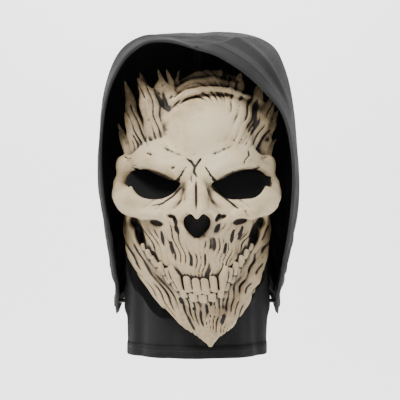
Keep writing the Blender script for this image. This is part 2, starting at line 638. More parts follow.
grooves = sample_plane(relief) + 0.95 * sample_plane(cords)
facing = 1 - smooth_step(-46, -6, places[:, 1])
sx, sz = places[:, 0] - lean(places[:, 2]), places[:, 2]
hole_gap = np.min([sample_plane(outline_distance(outline, face_x, face_z))
                   for outline in eye_holes + [nose_hole]], axis=0)
socket = smooth_step(8, 1, hole_gap) * smooth_step(-94, -84, places[:, 1])


def shade(x, z, rx, rz, turn=0.0):
    """A soft patch on both sides of the face, 1 in its middle."""
    c, s_ = math.cos(math.radians(turn)), math.sin(math.radians(turn))
    u = (c * (np.abs(sx) - x) + s_ * (sz - z)) / rx
    v = (c * (sz - z) - s_ * (np.abs(sx) - x)) / rz
    return np.exp(-(u * u + v * v) ** 1.5)


low_face = smooth_step(-24, -64, sz)
mouth = np.exp(-((sz + 124 - 0.0125 * sx * sx) / 17) ** 4) * smooth_step(72, 60, np.abs(sx))
stain = 0.62 * fine_hollow + 0.17 * broad_hollow + 0.24 * grooves * facing
gap = smooth_step(2.2, 0.3, sample(np.clip(bare_gums, -4, 4), places, clay_low, clay_step)) * facing
stain += 0.42 * gap * mouth + 0.9 * np.clip(fine_hollow, 0, 0.6) * mouth
stain += (0.6 * socket + 0.9 * shade(69, -58, 7.5, 18, -14) + 0.75 * shade(7, -48, 9, 13)
          + 0.5 * shade(26, -50, 4.5, 8, -24))
stain += 0.22 * shade(51, 1, 38, 24, 8) + 0.22 * shade(20, 4, 9, 16, 20) + 0.16 * shade(14, -20, 8, 20, -8)
stain += 0.24 * shade(84, 52, 12, 24, -14) + 0.14 * shade(58, -44, 26, 7, 6)
stain += (0.02 + 0.5 * np.clip(fine_hollow + 0.1, 0, 1)) * mouth + 0.06 * low_face
zone = 0.02 + 0.50 * low_face + 0.24 * smooth_step(34, 84, np.abs(sx)) * (1 - low_face)
horn_dark = smooth_step(58, 100, sz + 0.3 * np.abs(sx)) * smooth_step(34, 56, np.abs(sx - 8))
stain += 0.42 * smooth_step(110, 120, sz) + horn_dark * (0.16 + 0.6 * np.clip(fine_hollow + 0.15, 0, 1))
stain = np.clip(stain, 0, 1)
crown_dark = smooth_step(104, 116, sz)
zone = np.clip(zone + 0.62 * horn_dark + 1.0 * crown_dark + 0.5 * smooth_step(-60, -10, places[:, 1])
               + 0.2 * smooth_step(-130, -150, sz), 0, 1)
add_mask(casting, "stain", stain)
add_mask(casting, "zone", zone)
add_mask(casting, "inside", inside)


def node_maker(tree):
    """Adds a node to a tree, with its values and links given by socket name."""
    def make(kind, settings=None, **inputs):
        node = tree.nodes.new(kind)
        for key, value in (settings or {}).items():
            setattr(node, key, value)
        for key, value in inputs.items():
            name = key.replace("_", " ")
            socket = node.inputs[int(key[1:])] if key[0] == "i" and key[1:].isdigit() else node.inputs[name]
            if isinstance(value, bpy.types.NodeSocket):
                tree.links.new(value, socket)
            else:
                socket.default_value = value
        return node
    return make


def new_material(name, rough, slot_specular=0.5):
    """A material with its shader, ready for its own nodes."""
    paint = bpy.data.materials.new(name)
    paint.use_nodes = True
    shader = paint.node_tree.nodes["Principled BSDF"]
    shader.inputs["Roughness"].default_value = rough
    shader.inputs["Specular IOR Level"].default_value = slot_specular
    return paint, shader, node_maker(paint.node_tree)


def ramp(make, factor, stops):
    """A colour ramp through stops of (place, colour)."""
    node = make("ShaderNodeValToRGB", Fac=factor)
    band = node.color_ramp
    while len(band.elements) < len(stops):
        band.elements.new(0.5)
    for element, (place, colour) in zip(band.elements, stops):
        element.position = place
        element.color = (*colour, 1)
    return node.outputs["Color"]


def painted_latex():
    """Bone-coloured latex under thin brown and black washes."""
    paint, shader, make = new_material("painted_latex", 0.56, 0.35)
    links = paint.node_tree.links
    where = make("ShaderNodeTexCoord").outputs["Object"]
    stain_value = make("ShaderNodeAttribute", {"attribute_name": "stain"}).outputs["Fac"]
    zone_value = make("ShaderNodeAttribute", {"attribute_name": "zone"}).outputs["Fac"]
    inside_value = make("ShaderNodeAttribute", {"attribute_name": "inside"}).outputs["Fac"]
    broad = make("ShaderNodeTexNoise", Vector=where, Scale=26.0, Detail=5.0, Roughness=0.6).outputs["Fac"]
    fine = make("ShaderNodeTexNoise", Vector=where, Scale=170.0, Detail=6.0, Roughness=0.65).outputs["Fac"]
    base = ramp(make, broad, [(0.30, (0.44, 0.33, 0.19)), (0.52, (0.64, 0.52, 0.335)),
                              (0.72, (0.77, 0.655, 0.46))])
    dirty = ramp(make, fine, [(0.28, (0.15, 0.10, 0.05)), (0.5, (0.28, 0.205, 0.115)),
                              (0.75, (0.43, 0.335, 0.205))])
    zone_patch = make("ShaderNodeMath", {"operation": "MULTIPLY_ADD"}, i0=broad, i1=0.9, i2=-0.45).outputs[0]
    zone_sum = make("ShaderNodeMath", {"operation": "ADD", "use_clamp": True},
                    i0=zone_value, i1=zone_patch).outputs[0]
    toned = make("ShaderNodeMix", {"data_type": "RGBA"}, Factor=zone_sum)
    links.new(base, toned.inputs[6])
    links.new(dirty, toned.inputs[7])
    wash_noise = make("ShaderNodeMath", {"operation": "MULTIPLY_ADD"}, i0=fine, i1=0.5, i2=-0.25).outputs[0]
    wash_sum = make("ShaderNodeMath", {"operation": "ADD", "use_clamp": True},
                    i0=stain_value, i1=wash_noise).outputs[0]
    wash = make("ShaderNodeMapRange", {"interpolation_type": "SMOOTHSTEP"}, Value=wash_sum)
    wash.inputs["From Min"].default_value = 0.12
    wash.inputs["From Max"].default_value = 0.72
    wash_colour = ramp(make, wash_sum, [(0.25, (0.16, 0.105, 0.055)), (0.60, (0.045, 0.03, 0.02)),
                                        (0.9, (0.012, 0.01, 0.009))])
    washed = make("ShaderNodeMix", {"data_type": "RGBA"}, Factor=wash.outputs[0])
    links.new(toned.outputs[2], washed.inputs[6])
    links.new(wash_colour, washed.inputs[7])
    lined = make("ShaderNodeMix", {"data_type": "RGBA"}, Factor=inside_value)
    links.new(washed.outputs[2], lined.inputs[6])
    lined.inputs[7].default_value = (0.50, 0.40, 0.26, 1)
    links.new(lined.outputs[2], shader.inputs["Base Color"])
    pores = make("ShaderNodeTexNoise", Vector=where, Scale=520.0, Detail=4.0, Roughness=0.7).outputs["Fac"]
    height = make("ShaderNodeMath", {"operation": "MULTIPLY_ADD"}, i0=pores, i1=0.5, i2=fine).outputs[0]
    bump = make("ShaderNodeBump", Strength=0.45, Distance=0.0009, Height=height)
    links.new(bump.outputs["Normal"], shader.inputs["Normal"])
    rough = make("ShaderNodeMapRange", Value=fine)
    rough.inputs["To Min"].default_value = 0.46
    rough.inputs["To Max"].default_value = 0.70
    links.new(rough.outputs[0], shader.inputs["Roughness"])
    shader.inputs["Subsurface Weight"].default_value = 0.06
    shader.inputs["Subsurface Radius"].default_value = (0.004, 0.0022, 0.0012)
    return paint


casting.data.materials.clear()
casting.data.materials.append(painted_latex())
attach(casting, "mask")
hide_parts("face_shell")


# ---- Gauze -----------------------------------------------------------------------------------------------
# Black mesh glued behind the eye and nose openings. The wearer sees and breathes through it, and from
# outside it reads as black.

def inner_face(spread, offset):
    """How far back the casting's inner face lies, coming from the front: a smoothed depth in mm."""
    solid = uncut_clay < -(wall + offset)
    depth = clay_y[np.argmax(solid, axis=1)]
    depth = np.where(solid.any(axis=1), depth, np.nan)
    fill = np.nanmedian(depth)
    depth = np.nan_to_num(depth, nan=fill)
    for _ in range(spread):
        depth = 0.2 * (depth + np.roll(depth, 1, 0) + np.roll(depth, -1, 0)
                       + np.roll(depth, 1, 1) + np.roll(depth, -1, 1))
    return depth


def read_plane(values, u, v, line_u, line_v):
    """A 2-D field at places (u, v)."""
    pu = np.clip((u - line_u[0]) / clay_step, 0, len(line_u) - 1.001)
    pv = np.clip((v - line_v[0]) / clay_step, 0, len(line_v) - 1.001)
    iu, iv = pu.astype(int), pv.astype(int)
    fu, fv = pu - iu, pv - iv
    return ((values[iu, iv] * (1 - fu) + values[iu + 1, iv] * fu) * (1 - fv)
            + (values[iu, iv + 1] * (1 - fu) + values[iu + 1, iv + 1] * fu) * fv)


def give_thickness(piece, thickness, offset=0.0, second_material=0):
    """Makes a sheet a closed piece of cloth."""
    skin = piece.modifiers.new("skin", "SOLIDIFY")
    skin.thickness = thickness
    skin.offset = offset
    skin.material_offset = second_material
    apply_modifiers(piece)


def close_piece(piece):
    """Merges doubled points and turns every face outwards."""
    shape = bmesh.new()
    shape.from_mesh(piece.data)
    bmesh.ops.remove_doubles(shape, verts=shape.verts, dist=0.00002)
    bmesh.ops.dissolve_degenerate(shape, edges=shape.edges, dist=0.00001)
    bmesh.ops.recalc_face_normals(shape, faces=shape.faces)
    shape.to_mesh(piece.data)
    shape.free()


def disc_grid(outline, rings):
    """Points and faces that fill an outline in rings round its middle."""
    ring = np.array(outline)
    middle = ring.mean(axis=0)
    flat = [middle]
    for k in range(1, rings + 1):
        flat.extend(middle + (ring - middle) * k / rings)
    n = len(ring)
    faces = [(0, 1 + (i + 1) % n, 1 + i) for i in range(n)]
    for k in range(rings - 1):
        a, b = 1 + k * n, 1 + (k + 1) * n
        faces.extend((a + i, a + (i + 1) % n, b + (i + 1) % n, b + i) for i in range(n))
    return np.array(flat), faces


def black_gauze():
    paint, shader, make = new_material("black_gauze", 0.85, 0.2)
    links = paint.node_tree.links
    where = make("ShaderNodeTexCoord").outputs["Object"]
    turned = make("ShaderNodeMapping", Vector=where)
    turned.inputs["Rotation"].default_value = (0, 0.6, 0)
    warp = make("ShaderNodeTexWave", {"bands_direction": "X"}, Vector=turned.outputs[0],
                Scale=260.0).outputs["Fac"]
    weft = make("ShaderNodeTexWave", {"bands_direction": "Z"}, Vector=turned.outputs[0],
                Scale=260.0).outputs["Fac"]
    net = make("ShaderNodeMath", {"operation": "MAXIMUM"}, i0=warp, i1=weft).outputs[0]
    net_colour = ramp(make, net, [(0.4, (0.001, 0.001, 0.001)), (0.9, (0.011, 0.011, 0.012))])
    links.new(net_colour, shader.inputs["Base Color"])
    bump = make("ShaderNodeBump", Strength=0.6, Distance=0.0004, Height=net)
    links.new(bump.outputs["Normal"], shader.inputs["Normal"])
    return paint


gauze_paint = black_gauze()
gauze_depth = inner_face(10, 0.9)
gauze_margin = 1.16
for name, outline, node in (("eye_gauze_right", eye_holes[0], "eye_mesh_right"),
                            ("nose_gauze", nose_hole, "nose_mesh"),
                            ("eye_gauze_left", eye_holes[1], "eye_mesh_left")):
    ring = np.array(outline)
    ring = ring.mean(axis=0) + (ring - ring.mean(axis=0)) * gauze_margin
    flat, faces = disc_grid([tuple(p) for p in ring], 12)
    rim_depth = read_plane(gauze_depth, ring[:, 0], ring[:, 1], clay_x, clay_z)
    terms = np.column_stack((np.ones(len(ring)), ring, ring[:, 0] ** 2))
    bent = np.linalg.lstsq(terms, rim_depth, rcond=None)[0]
    behind = np.percentile(rim_depth - terms @ bent, 70)
    depth = np.column_stack((np.ones(len(flat)), flat, flat[:, 0] ** 2)) @ bent + behind
    gauze = new_piece(name, np.column_stack((flat[:, 0], depth, flat[:, 1])), faces)
    gauze.data.materials.append(gauze_paint)
    give_thickness(gauze, 0.0006)
    close_piece(gauze)
    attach(gauze, "mask")
    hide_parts(node)
    wide = 1.05 * (ring[:, 0].max() - ring[:, 0].min()) / 1000


# ---- Hood ------------------------------------------------------------------------------------------------
# Two panels of black cotton twill, joined over the head by a seam. The front edge is turned over into a
# stitched hem that dips across the forehead to the wearer's left, and each side runs down to a tab with a
# press stud.

def along(keys, t):
    """A smooth curve through evenly spaced keys, at values of t from 0 to 1."""
    keys = np.array(keys, dtype=float)
    place = np.clip(t, 0, 1) * (len(keys) - 1)
    i = np.minimum(place.astype(int), len(keys) - 2)
    f = (place - i)[:, None]
    p0, p1, p2, p3 = (keys[np.clip(i + k, 0, len(keys) - 1)] for k in (-1, 0, 1, 2))
    return 0.5 * (2 * p1 + (p2 - p0) * f + (2 * p0 - 5 * p1 + 4 * p2 - p3) * f ** 2
                  + (3 * p1 - p0 - 3 * p2 + p3) * f ** 3)


# From the peak over the brow down to the stud: the front edge, the widest line of the side, and the seam
# that runs back over the crown and down behind the head.
hem_left = [(0, -95, 157), (20, -97, 151), (40, -98, 140), (61, -97, 125), (82, -93, 105), (101, -86, 82),
            (111, -76, 46), (115, -66, 5), (112, -58, -40), (106, -53, -85), (100, -46, -122),
            (96, -30, -150)]
hem_right = [(0, -95, 157), (-20, -94, 164), (-40, -92, 167), (-62, -89, 164), (-87, -84, 144),
             (-106, -79, 104), (-114, -71, 52), (-114, -63, 5), (-109, -57, -40), (-102, -52, -85),
             (-97, -46, -122), (-95, -30, -150)]
side_left = [(0, -94, 158), (28, -84, 166), (60, -67, 174), (90, -50, 166), (105, -36, 140), (114, -26, 104),
             (120, -16, 62), (123, -6, 10), (121, 0, -38), (112, 2, -82), (104, 0, -122), (98.5, -4, -157)]
side_right = [(0, -94, 158), (-28, -80, 171), (-58, -64, 177), (-86, -48, 166), (-104, -36, 141),
              (-114, -26, 104), (-118, -16, 56), (-118, -6, 8), (-114, 0, -38), (-106, 2, -82),
              (-100, 0, -122), (-97.5, -4, -157)]
seam_line = [(-95, 157), (-76, 171), (-46, 181), (-12, 186), (26, 184), (66, 171), (99, 140), (117, 92),
             (124, 36), (121, -22), (115, -66), (111, -100)]
hood_rows, hood_columns = 150, 120
front_share = 0.30
hood_roundness = 0.74


def soft_noise(u, v, seed, pitch):
    """Slow uneven waves over a sheet, from -1 to 1 or so."""
    dice = np.random.default_rng(seed)
    total = np.zeros_like(u)
    for _ in range(7):
        turn, phase = dice.uniform(0, 6.3, 2)
        size = dice.uniform(0.6, 1.6) / pitch
        total += np.sin(size * (u * math.cos(turn) + v * math.sin(turn)) + phase)
    return total / 2.6


def side_sheet(hem, side):
    """One side of the hood as a grid: rows from the peak down, columns from the hem back to the seam."""
    t = np.linspace(0.0, 1.0, hood_rows)
    front, middle, back = along(hem, t), along(side, t), along(seam_line, t)
    back = np.column_stack((np.zeros(len(t)), back))
    grid = np.empty((hood_rows, hood_columns, 3))
    q = np.linspace(0, 1, hood_columns)
    for j, share in enumerate(q):
        if share < front_share:
            f = share / front_share
            knee = np.column_stack((middle[:, 0], 0.55 * middle[:, 1:] + 0.45 * front[:, 1:]))
            grid[:, j] = (1 - f) ** 2 * front + 2 * f * (1 - f) * knee + f ** 2 * middle
        else:
            turn = math.pi / 2 * (share - front_share) / (1 - front_share)
            c, s_ = math.cos(turn) ** hood_roundness, math.sin(turn) ** hood_roundness
            lift = math.sin(turn) ** 1.2
            grid[:, j, 0] = middle[:, 0] * c
            grid[:, j, 1] = middle[:, 1] + (back[:, 1] - middle[:, 1]) * s_
            grid[:, j, 2] = middle[:, 2] + (back[:, 2] - middle[:, 2]) * lift
    for _ in range(8):
        grid[1:-1] = 0.25 * (grid[:-2] + 2 * grid[1:-1] + grid[2:])
    return even_columns(grid)


def even_columns(grid):
    """Spaces each row's points evenly along its length."""
    made = np.empty_like(grid)
    for i, row in enumerate(grid):
        gaps = np.linalg.norm(np.diff(row, axis=0), axis=1)
        gone = np.concatenate(([0], np.cumsum(gaps)))
        want = np.linspace(0, gone[-1], len(row))
        for k in range(3):
            made[i, :, k] = np.interp(want, gone, row[:, k])
    return made


def grid_normals(grid):
    """Outward normals of a grid of points, away from the middle of the head."""
    across = np.gradient(grid, axis=1)
    down = np.gradient(grid, axis=0)
    normal = np.cross(across, down)
    normal /= np.linalg.norm(normal, axis=2, keepdims=True) + 1e-9
    outward = grid - np.array((0, 10, 0))
    flip = np.sign((normal * outward).sum(axis=2, keepdims=True))
    return normal * np.where(flip == 0, 1, flip)


def fold_cloth(grid, seed, sign):
    """Soft folds: long ones that fall from the crown to the studs, and a crease that follows the hem."""
    x, y, z = grid[..., 0], grid[..., 1], grid[..., 2]
    normal = grid_normals(grid)
    fall = np.arctan2(y + 6, z + 150) * 60
    low = smooth_step(120, -60, z)
    waves = 2.6 * low * np.sin(fall * 0.21 + 0.02 * z + 1.3 * soft_noise(y, z, seed, 60))
    waves += 1.5 * low * np.sin(fall * 0.47 + seed + 1.6 * soft_noise(y, z, seed + 1, 45))
    waves += 1.7 * soft_noise(x * 1.2, y + z, seed + 2, 24) * smooth_step(-20, 60, z)
    edge_spots = np.array([p for half in (hem_left, hem_right) for p in along(half, np.linspace(0, 1, 90))])
    behind = np.min(np.linalg.norm(grid[:, :, None] - edge_spots[None, None], axis=3), axis=2)
    crown = smooth_step(60, 110, z)
    crease = (np.exp(-((behind - 33 - 5 * np.sin(x * 0.035)) / 4.5) ** 2)
              - 0.8 * np.exp(-((behind - 24) / 5) ** 2))
    waves += 1.5 * crease * crown
    ridge = np.exp(-((behind - 62 - 0.28 * x) / 8) ** 2)
    waves += 2.0 * ridge * crown * (sign > 0)
    edge = smooth_step(0, 20, behind) * (0.25 + 0.75 * smooth_step(0, 22, np.abs(x)))
    edge = edge * smooth_step(-158, -120, z)
    return grid + normal * (waves * edge)[..., None]


def sheet_piece(name, grid):
    """A piece from a grid of points, with a flat pattern of its real lengths as its UV map."""
    rows, columns = grid.shape[:2]
    index = np.arange(rows * columns).reshape(rows, columns)
    faces = []
    for i in range(rows - 1):
        for j in range(columns - 1):
            quad = (index[i, j], index[i, j + 1], index[i + 1, j + 1], index[i + 1, j])
            corners = {tuple(np.round(grid[n // columns, n % columns], 4)) for n in quad}
            if len(corners) > 2:
                faces.append(tuple(int(n) for n in quad))
    piece = new_piece(name, grid.reshape(-1, 3), faces)
    across = np.cumsum(np.linalg.norm(np.diff(grid, axis=1), axis=2), axis=1)
    down = np.cumsum(np.linalg.norm(np.diff(grid, axis=0), axis=2), axis=0)
    u = np.concatenate((np.zeros((rows, 1)), across), 1)
    v = np.concatenate((np.zeros((1, columns)), down), 0)
    layer = piece.data.uv_layers.new(name="pattern")
    flat = np.stack((u, v), axis=2).reshape(-1, 2) / 1000
    loops = np.empty(len(piece.data.loops), dtype=np.int32)
    piece.data.loops.foreach_get("vertex_index", loops)
    layer.data.foreach_set("uv", flat[loops].astype(np.float32).ravel())
    return piece


def twill_group():
    """Twill weave over a UV map in metres: the height of its ribs and the tone of its threads."""
    tree = bpy.data.node_groups.new("twill_weave", "ShaderNodeTree")
    tree.interface.new_socket("Vector", in_out="INPUT", socket_type="NodeSocketVector")
    pitch = tree.interface.new_socket("Ribs", in_out="INPUT", socket_type="NodeSocketFloat")
    pitch.default_value = 900.0
    tree.interface.new_socket("Height", in_out="OUTPUT", socket_type="NodeSocketFloat")
    tree.interface.new_socket("Tone", in_out="OUTPUT", socket_type="NodeSocketFloat")
    make = node_maker(tree)
    entry = make("NodeGroupInput")
    leave = make("NodeGroupOutput")
    parts = make("ShaderNodeSeparateXYZ", Vector=entry.outputs["Vector"])
    wobble = make("ShaderNodeTexNoise", Vector=entry.outputs["Vector"], Scale=260.0,
                  Detail=2.0).outputs["Fac"]
    slant = make("ShaderNodeMath", {"operation": "MULTIPLY_ADD"}, i0=parts.outputs["Y"], i1=1.6,
                 i2=parts.outputs["X"])
    phase = make("ShaderNodeMath", {"operation": "MULTIPLY"}, i0=slant.outputs[0], i1=entry.outputs["Ribs"])
    phase = make("ShaderNodeMath", {"operation": "MULTIPLY_ADD"}, i0=phase.outputs[0], i1=6.2832, i2=wobble)
    rib = make("ShaderNodeMath", {"operation": "SINE"}, i0=phase.outputs[0])
    warp = make("ShaderNodeMath", {"operation": "MULTIPLY"}, i0=parts.outputs["X"], i1=entry.outputs["Ribs"])
    warp = make("ShaderNodeMath", {"operation": "MULTIPLY"}, i0=warp.outputs[0], i1=12.566)
    thread = make("ShaderNodeMath", {"operation": "SINE"}, i0=warp.outputs[0])
    height = make("ShaderNodeMath", {"operation": "MULTIPLY_ADD"}, i0=thread.outputs[0], i1=0.3,
                  i2=rib.outputs[0])
    lint = make("ShaderNodeTexNoise", Vector=entry.outputs["Vector"], Scale=1500.0, Detail=3.0).outputs["Fac"]
    tone = make("ShaderNodeMath", {"operation": "MULTIPLY_ADD"}, i0=height.outputs[0], i1=0.16, i2=lint)
    tree.links.new(height.outputs[0], leave.inputs["Height"])
    tree.links.new(tone.outputs[0], leave.inputs["Tone"])
    return tree


twill = twill_group()


def twill_cloth(name, dark, light, sheen):
    """Washed cotton twill between two tones."""
    paint, shader, make = new_material(name, 0.92, 0.15)
    links = paint.node_tree.links
    flat = make("ShaderNodeUVMap", {"uv_map": "pattern"}).outputs["UV"]
    weave = make("ShaderNodeGroup", {"node_tree": twill}, Vector=flat)
    where = make("ShaderNodeTexCoord").outputs["Object"]
    fade = make("ShaderNodeTexNoise", Vector=where, Scale=14.0, Detail=4.0, Roughness=0.6).outputs["Fac"]
    tone = make("ShaderNodeMath", {"operation": "MULTIPLY_ADD"}, i0=fade, i1=0.7,
                i2=weave.outputs["Tone"]).outputs[0]
    links.new(ramp(make, tone, [(0.5, dark), (1.15, light)]), shader.inputs["Base Color"])
    bump = make("ShaderNodeBump", Strength=0.5, Distance=0.0003, Height=weave.outputs["Height"])
    links.new(bump.outputs["Normal"], shader.inputs["Normal"])
    shader.inputs["Sheen Weight"].default_value = sheen
    shader.inputs["Sheen Roughness"].default_value = 0.45
    shader.inputs["Sheen Tint"].default_value = (0.8, 0.8, 0.82, 1)
    return paint


hood_outside = twill_cloth("hood_twill", (0.013, 0.013, 0.0135), (0.044, 0.044, 0.045), 0.09)
hood_inside = twill_cloth("hood_twill_inside", (0.004, 0.004, 0.004), (0.010, 0.010, 0.0105), 0.02)
cloth_thickness = 0.0014
stud_side, stud_y, stud_z = 98.3, -6.0, -142.0

hood_grids = {}
for name, hem, side, node, sign in (("hood_cloth_left", hem_left, side_left, "hood_panel_left", 1),
                                    ("hood_cloth_right", hem_right, side_right, "hood_panel_right", -1)):
    grid = fold_cloth(side_sheet(hem, side), 21 if sign > 0 else 34, sign)
    grid[:, -1, 0] = sign * 0.02
    near_stud = 1 - smooth_step(15, 40, np.hypot(grid[..., 1] - stud_y, grid[..., 2] - stud_z))
    grid[..., 0] += near_stud * (sign * stud_side - grid[..., 0])
    hood_grids[sign] = grid
    panel = sheet_piece(name, grid)
    close_piece(panel)
    panel.data.materials.append(hood_outside)
    panel.data.materials.append(hood_inside)
    give_thickness(panel, cloth_thickness, -1.0, 1)
    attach(panel, "hood")
    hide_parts(node)


hood_tree = BVHTree.FromPolygons(
    [tuple(p) for sign in (1, -1) for p in hood_grids[sign].reshape(-1, 3)],
    [(k, k + 1, k + hood_columns + 1, k + hood_columns)
     for half in (0, 1) for i in range(hood_rows - 1) for j in range(hood_columns - 1)
     for k in (half * hood_rows * hood_columns + i * hood_columns + j,)], epsilon=0.0)


def on_hood(place, lift=0.0):
    """The nearest point of the hood's outer face, lifted outwards."""
    spot, normal, _, _ = hood_tree.find_nearest(Vector(place))
    if normal.dot(spot - Vector((0, 10, 0))) < 0:
        normal = -normal
    return np.array(spot + normal * lift), np.array(normal)


def even_path(points, pitch):
    """A path resampled to about one pitch between points."""
    points = np.array(points, dtype=float)
    gone = np.concatenate(([0], np.cumsum(np.linalg.norm(np.diff(points, axis=0), axis=1))))
    want = np.linspace(0, gone[-1], max(2, int(gone[-1] / pitch)))
    return np.column_stack([np.interp(want, gone, points[:, k]) for k in range(3)])


def stitch_nodes():
    """Short thread loops at an even pitch along a line."""
    tree = bpy.data.node_groups.new("stitch_line", "GeometryNodeTree")
    tree.interface.new_socket("Line", in_out="INPUT", socket_type="NodeSocketGeometry")
    for label, value in (("Pitch", 0.0032), ("Stitch", 0.0024), ("Thread", 0.00034)):
        tree.interface.new_socket(label, in_out="INPUT", socket_type="NodeSocketFloat").default_value = value
    tree.interface.new_socket("Material", in_out="INPUT", socket_type="NodeSocketMaterial")
    tree.interface.new_socket("Stitches", in_out="OUTPUT", socket_type="NodeSocketGeometry")
    make = node_maker(tree)
    entry, leave = make("NodeGroupInput"), make("NodeGroupOutput")
    line = make("GeometryNodeMeshToCurve", Mesh=entry.outputs["Line"])
    spots = make("GeometryNodeCurveToPoints", {"mode": "LENGTH"}, Curve=line.outputs[0],
                 Length=entry.outputs["Pitch"])
    loop = make("GeometryNodeMeshUVSphere", Segments=7, Rings=5, Radius=1.0)
    half = make("ShaderNodeMath", {"operation": "MULTIPLY"}, i0=entry.outputs["Stitch"], i1=0.5)
    size = make("ShaderNodeCombineXYZ", X=entry.outputs["Thread"], Y=entry.outputs["Thread"],
                Z=half.outputs[0])
    shaped = make("GeometryNodeTransform", Geometry=loop.outputs["Mesh"], Scale=size.outputs[0])
    placed = make("GeometryNodeInstanceOnPoints", Points=spots.outputs["Points"], Instance=shaped.outputs[0],
                  Rotation=spots.outputs["Rotation"])
    real = make("GeometryNodeRealizeInstances", Geometry=placed.outputs[0])
    soft = make("GeometryNodeSetShadeSmooth", Geometry=real.outputs[0])
    done = make("GeometryNodeSetMaterial", Geometry=soft.outputs[0], Material=entry.outputs["Material"])
    tree.links.new(done.outputs[0], leave.inputs["Stitches"])
    return tree


def thread_material(name, colour):
    paint, shader, make = new_material(name, 0.7, 0.3)
    where = make("ShaderNodeTexCoord").outputs["Object"]
    twist = make("ShaderNodeTexNoise", Vector=where, Scale=1800.0, Detail=1.0).outputs["Fac"]
    dark = tuple(0.5 * c for c in colour)
    paint.node_tree.links.new(ramp(make, twist, [(0.3, dark), (0.7, colour)]), shader.inputs["Base Color"])
    return paint


stitch_tree = stitch_nodes()
black_thread = thread_material("black_thread", (0.035, 0.035, 0.036))


def sew(name, lines, body, pitch=3.2, length=2.4, thread=0.34, paint=None):
    """Rows of stitches along lines in mm, as one piece."""
    places, edges = [], []
    for line in lines:
        start = len(places)
        places.extend(line)
        edges.extend((start + k, start + k + 1) for k in range(len(line) - 1))
    mesh = bpy.data.meshes.new(name)
    mesh.from_pydata((np.array(places) / 1000).tolist(), edges, [])
    made = bpy.data.objects.new(name, mesh)
    bpy.context.collection.objects.link(made)
    row = made.modifiers.new("row", "NODES")
    row.node_group = stitch_tree
    for socket in stitch_tree.interface.items_tree:
        if socket.in_out == "INPUT" and socket.name != "Line":
            row[socket.identifier] = {"Pitch": pitch / 1000, "Stitch": length / 1000, "Thread": thread / 1000,
                                      "Material": paint or black_thread}[socket.name]
    apply_modifiers(made)
    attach(made, body)
    return made


# ---- Hood hem --------------------------------------------------------------------------------------------
# The front edge is a strip of the same twill, folded over the raw edge of both panels and sewn down with
# two rows of stitches. It is one strip from stud to stud.

hem_cloth = twill_cloth("hem_twill", (0.013, 0.013, 0.0135), (0.044, 0.044, 0.045), 0.09)
edge_line = np.vstack((hood_grids[-1][::-1, 0], hood_grids[1][1:, 0]))
edge_line = even_path(edge_line, 2.5)
edge_run = np.gradient(edge_line, axis=0)
for _ in range(4):
    edge_run[1:-1] = (edge_run[:-2] + edge_run[1:-1] + edge_run[2:]) / 3
edge_run /= np.linalg.norm(edge_run, axis=1, keepdims=True)
edge_out = np.array([on_hood(p)[1] for p in edge_line])
for _ in range(6):
    edge_out[1:-1] = (edge_out[:-2] + edge_out[1:-1] + edge_out[2:]) / 3
edge_in = np.cross(edge_out, edge_run)
edge_in /= np.linalg.norm(edge_in, axis=1, keepdims=True)
edge_in *= np.sign((edge_in * np.array((0, 1, 0.5))).sum(axis=1, keepdims=True))
hem_profile = [(15.4, -0.1), (15.2, 0.75), (14.2, 0.95), (12, 0.6), (9, 0.75), (6, 0.7), (3, 0.75), (1, 0.7),
               (-0.6, 0.2), (-0.9, -0.7), (-0.6, -1.7), (1, -2.1), (5, -2.05), (10, -2.05), (14.6, -2.0)]


def hem_place(k, back, lift):
    """A point near the hood's edge: so far back from the edge, so far out from the cloth."""
    if back <= 0:
        return edge_line[k] + edge_in[k] * back + edge_out[k] * lift
    spot, normal = on_hood(edge_line[k] + edge_in[k] * back)
    blend = min(back / 5, 1)
    return spot + (normal * blend + edge_out[k] * (1 - blend)) * lift


hem_grid = np.array([[hem_place(k, back, lift + 0.25 * math.sin(k * 0.35) * (lift > 0))
                      for back, lift in hem_profile] for k in range(len(edge_line))])
hem = sheet_piece("hood_hem_strip", hem_grid)
hem.data.materials.append(hem_cloth)
give_thickness(hem, 0.0009, 0.0)
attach(hem, "hood")
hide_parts("hood_hem")
hem_rows = [[hem_place(k, back, 1.15) for k in range(1, len(edge_line) - 1)] for back in (12.6, 3.4)]
hem_stitches = sew("hood_hem_stitches", hem_rows, "hood")


# ---- Hood seam -------------------------------------------------------------------------------------------
# The two panels meet over the head in a seam. A woven tape covers it inside, and a row of stitches runs
# down each side of it.

def tape_material():
    paint, shader, make = new_material("cotton_tape", 0.9, 0.2)
    links = paint.node_tree.links
    flat = make("ShaderNodeUVMap", {"uv_map": "pattern"}).outputs["UV"]
    weave = make("ShaderNodeGroup", {"node_tree": twill}, Vector=flat, Ribs=1300.0)
    links.new(ramp(make, weave.outputs["Tone"], [(0.2, (0.012, 0.012, 0.012)), (0.9, (0.035, 0.035, 0.036))]),
              shader.inputs["Base Color"])
    bump = make("ShaderNodeBump", Strength=0.5, Distance=0.0003, Height=weave.outputs["Height"])
    links.new(bump.outputs["Normal"], shader.inputs["Normal"])
    return paint


seam_path = even_path(hood_grids[1][8:-3, -1], 2.5)
tape_grid = np.array([[on_hood(p + np.array((d, 0, 0)), -2.3)[0] for d in (-5, -2.5, 0, 2.5, 5)]
                      for p in seam_path])
tape = sheet_piece("hood_seam_ribbon", tape_grid)
tape.data.materials.append(tape_material())
give_thickness(tape, 0.0007, 0.0)
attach(tape, "hood")
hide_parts("hood_seam_tape")
seam_rows = [[on_hood(p + np.array((d, 0, 0)), 0.12)[0] for p in seam_path] for d in (-3.2, 3.2)]
sew("hood_seam_stitches", seam_rows, "hood")


# ---- Corner patches --------------------------------------------------------------------------------------
# A round black leather patch is sewn outside each lower corner of the hood, where the press stud goes
# through. It is held by one ring of stitches, and keeps the stud from tearing out of the twill.

